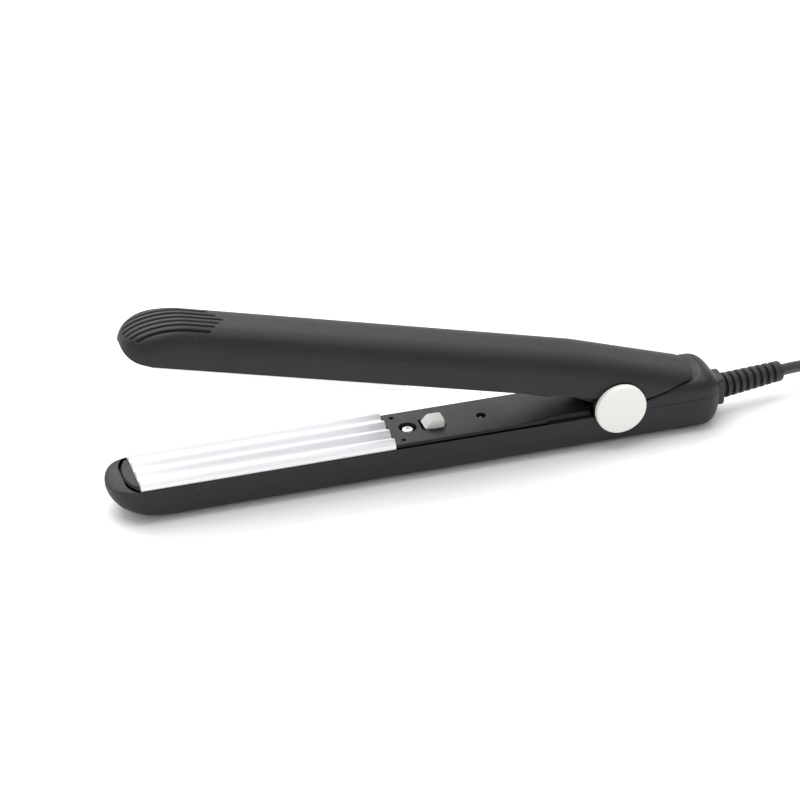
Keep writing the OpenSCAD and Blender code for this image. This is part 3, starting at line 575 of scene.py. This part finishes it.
def shell_skin(x, half, height, floor, place, hollow, limit=None):
    """Closed loop at each station: outer arch with its grooves, flat rim, inner arch one
    wall inside it. limit trims the half width. Where it isn't hollow, the inner arch
    shrinks to the middle of the rim."""
    y, z = arch(half, height, floor, SECTION_POWER, shares())
    if limit is not None:
        y = np.clip(y, -limit[:, None], limit[:, None])
    lift = np.clip((z - floor[:, None]) / RIM_ROUND, 0, 1)
    pull = RIM_ROUND * (1 - np.sqrt(1 - (1 - lift) ** 2))
    y = np.sign(y) * np.maximum(np.abs(y) - pull * np.minimum(half / 4, 1)[:, None], 0)
    deep = groove_depth(x[:, None], y)
    ny = np.sign(y) * np.abs(y / np.maximum(half, 0.01)[:, None]) ** (SECTION_POWER - 1)
    nz = (z / height[:, None]) ** (SECTION_POWER - 1)
    size = np.sqrt(ny**2 + nz**2) + 1e-9
    y, z = y - deep * ny / size, z - deep * nz / size
    room = half if limit is None else np.minimum(half, limit)
    top = height - WALL
    open_here = hollow & (room - WALL > 0.5) & (top > floor + 0.2)
    inner_half = np.where(open_here, room - WALL, 1.0)
    inner_top = np.where(open_here, top, floor + 1)
    inner_y, inner_z = arch(inner_half, inner_top, floor, SECTION_POWER, np.linspace(0, 1, 41))
    inner_y = np.where(open_here[:, None], inner_y, 0)[:, ::-1]
    inner_z = np.where(open_here[:, None], inner_z, floor[:, None])[:, ::-1]
    y = np.concatenate([y, inner_y], axis=1)
    z = np.concatenate([z, inner_z], axis=1)
    return skin(place(ring_of(x[:, None], y, z)))


def rear_ease(x):
    """How far the rear rounding has fallen at x: r - sqrt(r^2 - d^2)."""
    d = np.clip(x - (REAR_X - REAR_R), 0, REAR_R)
    return REAR_R - np.sqrt(REAR_R**2 - d**2)


def rear_stations(x0):
    """Even stations up to the rear rounding, then closer together round it."""
    round_part = REAR_X - REAR_R + REAR_R * np.sin(np.linspace(0, math.pi / 2, 22))
    return np.concatenate([np.arange(x0, REAR_X - REAR_R - 0.4, 1.0), round_part])


def ear_skin(side):
    """Upright half disc beside the pin, its outline carried from its inner to outer face."""
    t = np.linspace(0, math.pi, 60)
    a = np.concatenate([EAR_R * np.cos(t), [-EAR_R, EAR_R]])
    b = np.concatenate([EAR_R * np.sin(t), [-4.5, -4.5]])
    y = np.array([HALF_W - 2.6, HALF_W - 2.5, HALF_W - 0.25, HALF_W - 0.1])
    scale = np.array([0.985, 1, 1, 0.975])[:, None]
    return skin(ring_of(PIN[0] + scale * a, side * y[:, None], PIN[2] + scale * b))


def lower_shell(material):
    """Lower arm: open channel with a rounded nose and rear end, and the hinge's ears."""
    x = np.concatenate([nose_stations(), np.arange(33, 60, 2.5) + NOSE_X])
    x = np.concatenate([x, rear_stations(x[-1] + 2.5)])
    half, height = arm_profile(x)
    ease = rear_ease(x)
    half, height = half - ease, height - ease
    hollow = (x > NOSE_X + HOLLOW_FROM) & (x < REAR_X - WALL)
    body = shell_skin(x, half, height, nose_floor(x), lower_place, hollow)
    piece("lower_arm_shell", "lower_arm", material,
        [body, ear_skin(-1), ear_skin(1)], ("lower_shell",))


def seam_in_arm(u):
    """Height of the tail's lower edge in the arm's own frame, u along it from the pin."""
    dx, dz = SEAM[:, 0], SEAM[:, 1] + TAIL_GAP
    along = dx * math.cos(OPEN) - dz * math.sin(OPEN)
    rise = dx * math.sin(OPEN) + dz * math.cos(OPEN) - HALF_GAP
    return np.interp(u, along, rise)


def upper_shell(material):
    """Upper arm: the same nose, cut round the hinge's ears, ending in a rounded tongue
    whose lower edge follows the seam over the rear housing."""
    tail_end = SEAM[-1, 0] * math.cos(OPEN) - SEAM[-1, 1] * math.sin(OPEN) - 0.1
    u = np.concatenate([np.arange(-PIN[0] + NOSE_X + 33, -9, 2.5), np.arange(-9, 9, 0.3)])
    round_part = tail_end - TAIL_ROUND + TAIL_ROUND * np.sin(np.linspace(0, math.pi / 2, 26))
    u = np.concatenate([u, np.arange(9.2, tail_end - TAIL_ROUND - 0.1, 0.5), round_part])
    x = np.concatenate([nose_stations(), PIN[0] + u])
    u = x - PIN[0]
    half, height = arm_profile(x)
    height = height - TAIL_DROP * np.clip((u + TAIL_RUN) / (REAR_X - PIN[0] + TAIL_RUN), 0, 1)
    circle = np.sqrt(np.clip(CUT_R**2 - u**2, 0, None)) - HALF_GAP
    floor = np.maximum(nose_floor(x), circle)
    floor = np.where(u > 7.6, np.maximum(floor, seam_in_arm(u)), floor)
    d = np.clip((u - tail_end + TAIL_ROUND) / TAIL_ROUND, 0, 1)
    limit = (HALF_W + 0.05) * np.sqrt(1 - d**2)
    hollow = (x > NOSE_X + HOLLOW_FROM) & (u < tail_end - 3)
    body = shell_skin(x, half, height, floor, upper_place, hollow, limit=limit)
    piece("upper_arm_shell", "upper_arm", material, [body], ("upper_shell",))


def rear_housing(material):
    """Cover of the rear end. Its arch is cut by a shelf that follows the tail's seam, and
    rises behind the tail's rounded end in a scoop: (beyond / 6)^1.6 of the way."""
    start = PIN[0] + SEAM[0, 0] + 0.05
    x = np.concatenate([np.arange(start, REAR_X - REAR_R - 0.3, 0.35),
        REAR_X - REAR_R + REAR_R * np.sin(np.linspace(0, math.pi / 2, 26))])
    ease = rear_ease(x)
    half = HALF_W - ease
    height = HOUSING_HIGH[2] - ARM_H - ease
    y, z = arch(half, height, np.zeros_like(x), SECTION_POWER, shares())
    edge = 0.15
    pull = edge * (1 - np.sqrt(1 - (1 - np.clip(z / edge, 0, 1)) ** 2))
    y = np.sign(y) * (np.abs(y) - pull)
    tail = PIN[0] + SEAM[-1, 0] - TAIL_ROUND
    tail = tail + TAIL_ROUND * np.sqrt(np.clip(1 - (y / (HALF_W + 0.6)) ** 2, 0, 1))
    beyond = x[:, None] - tail
    seam = PIN[2] - ARM_H + np.interp(x, PIN[0] + SEAM[:, 0], SEAM[:, 1]) - SHELF_GAP
    rise = SCOOP_RISE * np.clip(beyond / SCOOP_L, 0, 1) ** SCOOP_POWER
    shelf = seam[:, None] + rise
    z = z - 0.15 * np.logaddexp(0, (z - shelf) / 0.15)
    z = np.maximum(z, 0)
    ring = ring_of(x[:, None], np.concatenate([y, 0 * y[:, :1]], axis=1),
        ARM_H + np.concatenate([z, 0 * z[:, :1]], axis=1))
    piece("rear_housing", "lower_arm", material, [skin(ring)], ("rear_cover",))


# ---- Decks, plates and controls ----

# Decks: depth of the underside, height of the cover's top and how far it stands proud of
# the rim, half the cover's width, how far the nose insert stands proud, and where the deck
# stops ahead of the hinge's ears.
DECK_FLOOR = 2.2
COVER_Z = DECK_HIGH[2]
COVER_PROUD = COVER_Z - ARM_H
COVER_HALF = 9.3
INSERT_PROUD = 0.75
DECK_END = PIN[0] - EAR_R - 0.5

# How far the knob's front leans out over its slot.
KNOB_LEAN = 1.5

# Radius and depth of the screw recess, the dimples and the lamp hole; place of a dimple
# behind the plate and to the side; depth of the knob's slot; radius of a hinge lug.
RECESS = (2.8, 1.9)
DIMPLE = (0.7, 0.8)
LAMP_HOLE = (1.5, 1.9)
DIMPLE_X = 3.4
DIMPLE_Y = 6.6
SLOT_DEPTH = 1.8
LUG_R = 5.6


def into_circle(x, y, cx, cy, radius, cell):
    """Moves grid points near a circle onto two rings, just inside and just outside it."""
    dx, dy = x - cx, y - cy
    r = np.hypot(dx, dy) + 1e-9
    inside = r < radius
    near = np.abs(r - radius) < cell
    goal = np.where(near, np.where(inside, radius - 0.05, radius + 0.03), r)
    return cx + dx * goal / r, cy + dy * goal / r, inside


def deck_lines(marks, low, high, cell):
    """Even grid lines from low to high, with a close pair at each mark."""
    lines = np.linspace(low, high, int(round((high - low) / cell)) + 1)
    for mark in marks:
        lines = lines[np.abs(lines - mark) > 0.12]
        lines = np.concatenate([lines, [mark - 0.04, mark + 0.04]])
    return np.sort(lines)


def deck_skin(place, controls):
    """Height field over the deck's outline: a chamfered insert ahead of the plate, and a
    cover behind it that rises a little to the hinge, with a screw recess and two dimples,
    and on the lower arm a slot and a lamp hole. Under it a narrower flat floor closes the loop."""
    half_full = DECK_HIGH[1]
    front = PLATE_LOW[0] - DECK_LOW[0]
    slot_x = (KNOB_LOW[0] - 2.3, KNOB_HIGH[0] + 0.3)
    slot_y = (KNOB_LOW[1] - 0.3, KNOB_HIGH[1] + 0.3)
    cell = 0.26
    x = np.concatenate([DECK_LOW[0] + front * (1 - np.cos(np.linspace(0, math.pi / 2, 34))),
        np.linspace(PLATE_LOW[0] + 0.5, PLATE_HIGH[0] - 0.8, 30),
        deck_lines(slot_x, PLATE_HIGH[0] - 0.5, DECK_HIGH[0], cell),
        DECK_HIGH[0] + np.array([0.05, 0.4, 2, 5, 8, 11]), DECK_END - np.array([0.5, 0.2, 0])])
    y = deck_lines((*slot_y, -COVER_HALF, COVER_HALF), -half_full, half_full, cell)
    t = np.clip((PLATE_LOW[0] - x) / front, 0, 1)
    half = np.sqrt(1 - t**2) * np.where(x > DECK_HIGH[0] + 0.01, 1 - (WALL + 0.2) / half_full, 1)
    x, y = np.meshgrid(x, y, indexing="ij")
    full_y = y
    y = y * half[:, None]
    reach = np.sqrt(np.clip(t[:, None] ** 2 + (y / half_full) ** 2, 0, 1))
    inset = (1 - reach) * front
    proud = INSERT_PROUD * smooth((inset - 0.75) / 0.35) - 0.35 * smooth(inset / 0.3)
    proud = (proud + 0.35 * smooth((inset - 0.6) / 0.3)) * (x < PLATE_LOW[0] + 0.1)
    dimple_x = PLATE_HIGH[0] + DIMPLE_X
    holes = [(SCREW[0], 0, *RECESS), (dimple_x, DIMPLE_Y, *DIMPLE), (dimple_x, -DIMPLE_Y, *DIMPLE)]
    if controls:
        holes.append((LAMP[0], 0, *LAMP_HOLE))
    inside = []
    for cx, cy, radius, deep in holes:
        x, y, here = into_circle(x, y, cx, cy, radius, cell)
        inside.append((here, deep))
    border = np.minimum(x - PLATE_HIGH[0] - 0.2, DECK_END - x)
    side = np.where(x > DECK_HIGH[0] + 0.01, half_full - WALL - 0.2, COVER_HALF + 0.02)
    border = np.minimum(border, side - np.abs(y))
    cover = COVER_PROUD * smooth(border / 0.45)
    cover = cover + 0.5 * smooth((x - DECK_HIGH[0] + 14) / 14) ** 2 * smooth(border / 0.8)
    proud = np.maximum(proud, cover)
    for here, deep in inside:
        proud = np.where(here, proud - deep, proud)
    if controls:
        in_slot = (x > slot_x[0]) & (x < slot_x[1]) & (full_y > slot_y[0]) & (full_y < slot_y[1])
        proud = np.where(in_slot, -SLOT_DEPTH, proud)
    top = ring_of(x, y, -proud)
    w = (half_full * half)[:, None]
    xs = x[:, :1]
    under = [ring_of(xs, s * np.maximum(w - d, 0), z)
        for s, d, z in ((1, 0, 0.8), (1, 1.6, 0.8), (1, 1.6, DECK_FLOOR), (-1, 1.6, DECK_FLOOR),
            (-1, 1.6, 0.8), (-1, 0, 0.8))]
    return skin(place(np.concatenate([top] + under, axis=1)))


def lug_skin(side):
    """Hinge lug of the upper deck: rounded outline from its inner to its outer face."""
    t = np.radians(np.linspace(-165, -15, 40))
    root = DECK_HIGH[0] - PIN[0] - 4
    a = np.concatenate([LUG_R * np.cos(t), [4.2, -4, root, root]])
    b = np.concatenate([-HALF_GAP + LUG_R * np.sin(t), [4.6, 7, 4.6, 1.2]])
    y = np.array([4.85, 5.05, 7.15, 7.35])
    scale = np.array([0.97, 1, 1, 0.97])[:, None]
    return skin(upper_place(ring_of(PIN[0] + scale * a, side * y[:, None], scale * b)))


def decks(material):
    """Both decks; the upper one also carries the hinge's lugs."""
    piece("lower_deck", "lower_arm", material,
        [deck_skin(lower_place, True)], ("lower_frame",))
    piece("upper_deck", "upper_arm", material,
        [deck_skin(upper_place, False), lug_skin(-1), lug_skin(1)], ("upper_frame",))


# Plate: distance between waves, half a wave's height, mean height of the face.
WAVE_PITCH = 5.4
WAVE_HALF_H = 0.75
PLATE_MEAN = 2.05


def plate_skin(place, phase):
    """Plate section carried along x: face at mean - phase * h cos(2 pi y / pitch), neck and
    two rails behind. The end sections are drawn in a little, which rounds their edges."""
    half = PLATE_HIGH[1]
    y = np.linspace(-half, half, 200)
    face = -PLATE_MEAN - phase * WAVE_HALF_H * np.cos(2 * math.pi * y / WAVE_PITCH)
    edge = 0.35
    near = np.clip((half - np.abs(y)) / edge, 0, 1)
    face = face + edge * (1 - np.sqrt(1 - (1 - near) ** 2))
    neck, rail, foot, hook = 6.7, 1.1, DECK_FLOOR + 4.2, 4.6
    back = [(half, 0), (neck, 0), (neck, foot), (hook, foot), (hook, foot - 0.8),
        (neck - rail, foot - 0.8), (neck - rail, DECK_FLOOR), (-neck + rail, DECK_FLOOR),
        (-neck + rail, foot - 0.8), (-hook, foot - 0.8), (-hook, foot), (-neck, foot),
        (-neck, 0), (-half, 0)]
    y = np.concatenate([y, [p[0] for p in back]])
    z = np.concatenate([face, [p[1] for p in back]])
    draw = np.array([0.3, 0.12, 0.03, 0, 0, 0, 0, 0.03, 0.12, 0.3])
    x = np.array([0, 0.06, 0.18, 0.3, 20, 60, 79.7, 79.82, 79.94, 80]) + PLATE_LOW[0]
    on_face = (z < -0.5)[None, :]
    z = z[None, :] + draw[:, None] * on_face
    y = y[None, :] * (1 - draw[:, None] / half * 0.8)
    return skin(place(ring_of(x[:, None], y, z)))


def plates(material):
    """The two corrugated plates, each with its ridges along the arm."""
    piece("lower_crimp_plate", "lower_arm", material,
        [plate_skin(lower_place, -1)], ("lower_plate",), sharp=30)
    piece("upper_crimp_plate", "upper_arm", material,
        [plate_skin(upper_place, 1)], ("upper_plate",), sharp=30)


def caps(material):
    """Turned caps on both ends of the pin: crowned face and rounded edge."""
    for node, side in (("pivot_cap_near", -1), ("pivot_cap_far", 1)):
        low, high = low_high(node)
        radius = (high[0] - low[0]) / 2
        thick = HALF_W + 2.2
        levels = [(HALF_W + 0.1, radius), (HALF_W + 0.1, 0.3), (HALF_W + 0.2, 0)]
        edge = 0.75
        levels += [(thick - 0.12 - edge * (1 - math.sin(a)), edge * (1 - math.cos(a)))
            for a in np.linspace(0, math.pi / 2, 10)]
        levels += [(thick - 0.12 * (1 - k), edge + (radius - edge) * k)
            for k in np.linspace(0.1, 1, 8)]
        p = stack(radius, radius, 2, levels, 128)
        rings = ring_of(PIN[0] + p[..., 0], side * p[..., 2], PIN[2] + p[..., 1])
        piece(node + "_disc", "lower_arm", material, [skin(rings)], (node,))


def knob(material):
    """Slide knob: rounded block. Above the cover its front leans out over the slot, by
    lean * (1 - 1.25 height), as a ramp for the thumb."""
    mid, size = (KNOB_LOW + KNOB_HIGH) / 2, (KNOB_HIGH - KNOB_LOW) / 2
    levels = rounded_levels(KNOB_LOW[2], KNOB_HIGH[2], 0.2, 0.5, size[0], 8)
    seat = COVER_Z + 0.06
    cut = next(k for k, level in enumerate(levels) if level[0] > seat)
    levels[cut:cut] = [(seat - 0.01, 0), (seat, 0), (seat + 0.3, 0), (seat + 0.9, 0)]
    p = stack(size[0], size[1], 7, levels, 128)
    lift = (p[..., 2] - seat) / (KNOB_HIGH[2] - seat)
    lean = KNOB_LEAN * np.where(lift >= 0, 1 - 1.25 * lift, 0) * smooth(0.5 - p[..., 0] / size[0])
    rings = ring_of(mid[0] + p[..., 0] - lean, p[..., 1], p[..., 2])
    piece("slide_knob", "switch", material, [skin(rings)], ("switch_knob",))


def screw_skin(place):
    """Pan head with a cross recess: dome minus the deeper of two crossed slots."""
    r = np.concatenate([np.linspace(2.0, 0.05, 44), [0]])[:, None]
    t = (np.arange(96) * 2 * math.pi / 96)[None, :]
    x, y = r * np.cos(t + math.pi / 4), r * np.sin(t + math.pi / 4)
    r = r + 0 * t
    dome = 1.15 - 0.3 * (r / 2) ** 2 - 0.45 * smooth((r - 1.5) / 0.5) ** 2

    def slot(along, across):
        return smooth((0.36 - np.abs(across)) / 0.14) * smooth((1.35 - np.abs(along)) / 0.25)

    a, b = x * 0.94 - y * 0.34, x * 0.34 + y * 0.94
    cross = np.maximum(slot(a, b), slot(b, a))
    z = dome - 0.75 * cross * (1 - 0.35 * r / 1.35)
    under = ring_of(2 * np.cos(t + math.pi / 4), 2 * np.sin(t + math.pi / 4), 0.0)
    p = np.concatenate([under, ring_of(x, y, z)], axis=0)
    return skin(place(ring_of(SCREW[0] + p[..., 0], p[..., 1], 0.75 - p[..., 2])))


def screws(material):
    """The two screws that hold the decks."""
    piece("lower_deck_screw", "lower_arm", material,
        [screw_skin(lower_place)], ("lower_frame_screw",), sharp=60)
    piece("upper_deck_screw", "upper_arm", material,
        [screw_skin(upper_place)], ("upper_frame_screw",), sharp=60)


def lens(material):
    """Round lens with a domed top, a little below the cover."""
    low, high = low_high("indicator_lamp")
    half = (high[0] - low[0]) / 2
    levels = [(low[2], half), (low[2], 0.2), (low[2] + 0.2, 0)]
    levels += [(high[2] - half * (1 - math.sin(a)), half * (1 - math.cos(a)))
        for a in np.linspace(0, math.pi / 2, 14)]
    p = stack(half, half, 2, levels, 48)
    rings = ring_of(LAMP[0] + p[..., 0], p[..., 1], p[..., 2])
    piece("lamp_dome", "lower_arm", material, [skin(rings)], ("indicator_lamp",))


# Ribbed sleeve: length, ribs, depth between ribs and how far it is bent to the side.
RELIEF_L = 22.8
RELIEF_RIBS = 8
RELIEF_DEEP = 1.1
RELIEF_TURN = math.radians(8)


def boot(material):
    """Strain relief: rounded square flange, then a tapering ribbed sleeve bent a little to
    the far side. Between ribs the radius drops by 1.1, but less along the underside."""
    flange_t, half_y, half_z = 2.7, 4.0, 4.8
    levels = rounded_levels(-1.2, flange_t, 0.1, 0.6, half_y, 6)
    p = stack(half_y, half_z, 8, levels, 96)
    flange = skin(ring_of(REAR_X + p[..., 2], p[..., 0], CORD_Z + p[..., 1]))
    s = np.linspace(0, RELIEF_L, 260)
    first = 1.0
    pitch = (RELIEF_L - first - 1.2) / RELIEF_RIBS
    phase = np.clip((s - first) / pitch, 0, RELIEF_RIBS)
    wave = smooth((np.cos(2 * math.pi * (phase - 0.62)) + 0.75) / 0.9)
    collar = smooth((s - RELIEF_L + 2.2) / 0.5)
    full = 4.1 - 0.8 * s / RELIEF_L
    tip = np.clip((s - RELIEF_L + 0.45) / 0.45, 0, 1)
    full = full - 0.45 * (1 - np.sqrt(1 - tip**2))
    t = np.arange(56) * 2 * math.pi / 56
    web = smooth((-np.sin(t) - 0.82) / 0.14)
    rise = np.maximum(np.maximum(wave, collar)[:, None], 0.8 * web[None, :])
    r = full[:, None] - RELIEF_DEEP * (1 - rise)
    out = r * np.cos(t)
    x = REAR_X + flange_t - 1 + s[:, None] * math.cos(RELIEF_TURN) - out * math.sin(RELIEF_TURN)
    y = s[:, None] * math.sin(RELIEF_TURN) + out * math.cos(RELIEF_TURN)
    sleeve = skin(ring_of(x, y, CORD_Z + r * np.sin(t)))
    piece("ribbed_boot", "lower_arm", material, [flange, sleeve],
        ("strain_relief",))


# ---- CAD nodes that stay ----

KEPT = {
    "hinge_pin": "spring_steel", "hinge_washers": "spring_steel",
    "torsion_spring": "spring_steel", "lower_heater": "heater_ceramic",
    "upper_heater": "heater_ceramic", "lower_heater_film": "film", "upper_heater_film": "film",
    "lower_heater_clip": "spring_steel", "upper_heater_clip": "spring_steel",
    "thermal_fuse": "heater_ceramic", "switch_terminals": "brass_contact",
    "lamp_board": "board", "lower_wires": "wire_sleeve", "upper_wires": "wire_sleeve",
}


def dress_kept_nodes(black, metal):
    """Gives each CAD node that stays its finish."""
    made = {slot: hidden_finish(slot) for slot in set(KEPT.values())}
    looks = {node: made[slot] for node, slot in KEPT.items()}
    looks.update(switch_body=black, cord_clamp=black, rear_cover_screws=metal,
        clamp_screws=metal)
    for node, material in looks.items():
        obj = frame["nodes"][node]
        if not obj.material_slots:
            obj.data.materials.append(material)
        for place in obj.material_slots:
            place.material = material


# ---- Table and light ----

def soft_light(name, width, depth, watts, place, tilt):
    """Wide soft light: width and depth in metres, tilt in degrees about x."""
    light = bpy.data.lights.new(name, "AREA")
    light.shape = "RECTANGLE"
    light.size, light.size_y = width, depth
    light.energy = watts
    obj = bpy.data.objects.new(name, light)
    bpy.context.collection.objects.link(obj)
    obj.location = place
    obj.rotation_euler = (math.radians(tilt), 0, 0)


def studio():
    """Pale table, even white surroundings, and soft lights above and behind."""
    mesh = bpy.data.meshes.new("table")
    side = 4
    mesh.from_pydata([(-side, -side, 0), (side, -side, 0), (side, side, 0), (-side, side, 0)],
        [], [(0, 1, 2, 3)])
    table = bpy.data.objects.new("table", mesh)
    bpy.context.collection.objects.link(table)
    mesh.materials.append(finish("white_table", (0.94, 0.94, 0.94), 0.8, bump=0, drift=0.005))
    world = bpy.data.worlds.new("surroundings")
    world.use_nodes = True
    world.node_tree.nodes["Background"].inputs["Color"].default_value = (1, 1, 1, 1)
    world.node_tree.nodes["Background"].inputs["Strength"].default_value = 0.8
    bpy.context.scene.world = world
    soft_light("overhead", 1.6, 1.2, 18, (-0.1, 0.25, 1.5), -10)
    soft_light("behind", 1.8, 0.7, 10, (-0.3, 1.15, 0.85), -55)
    bpy.context.scene.view_settings.view_transform = "Standard"


def main():
    camera()
    black, metal = black_plastic(), zinc()
    lead(lead_rubber(), boot_rubber(), hidden_finish("pin_plated"), hidden_finish("tie_strap"))
    lower_shell(black)
    upper_shell(black)
    rear_housing(black)
    decks(deck_plastic())
    plates(plate_metal())
    caps(cap_plastic())
    knob(knob_plastic())
    screws(metal)
    lens(lamp_lens())
    boot(boot_rubber())
    dress_kept_nodes(black, metal)
    studio()


main()
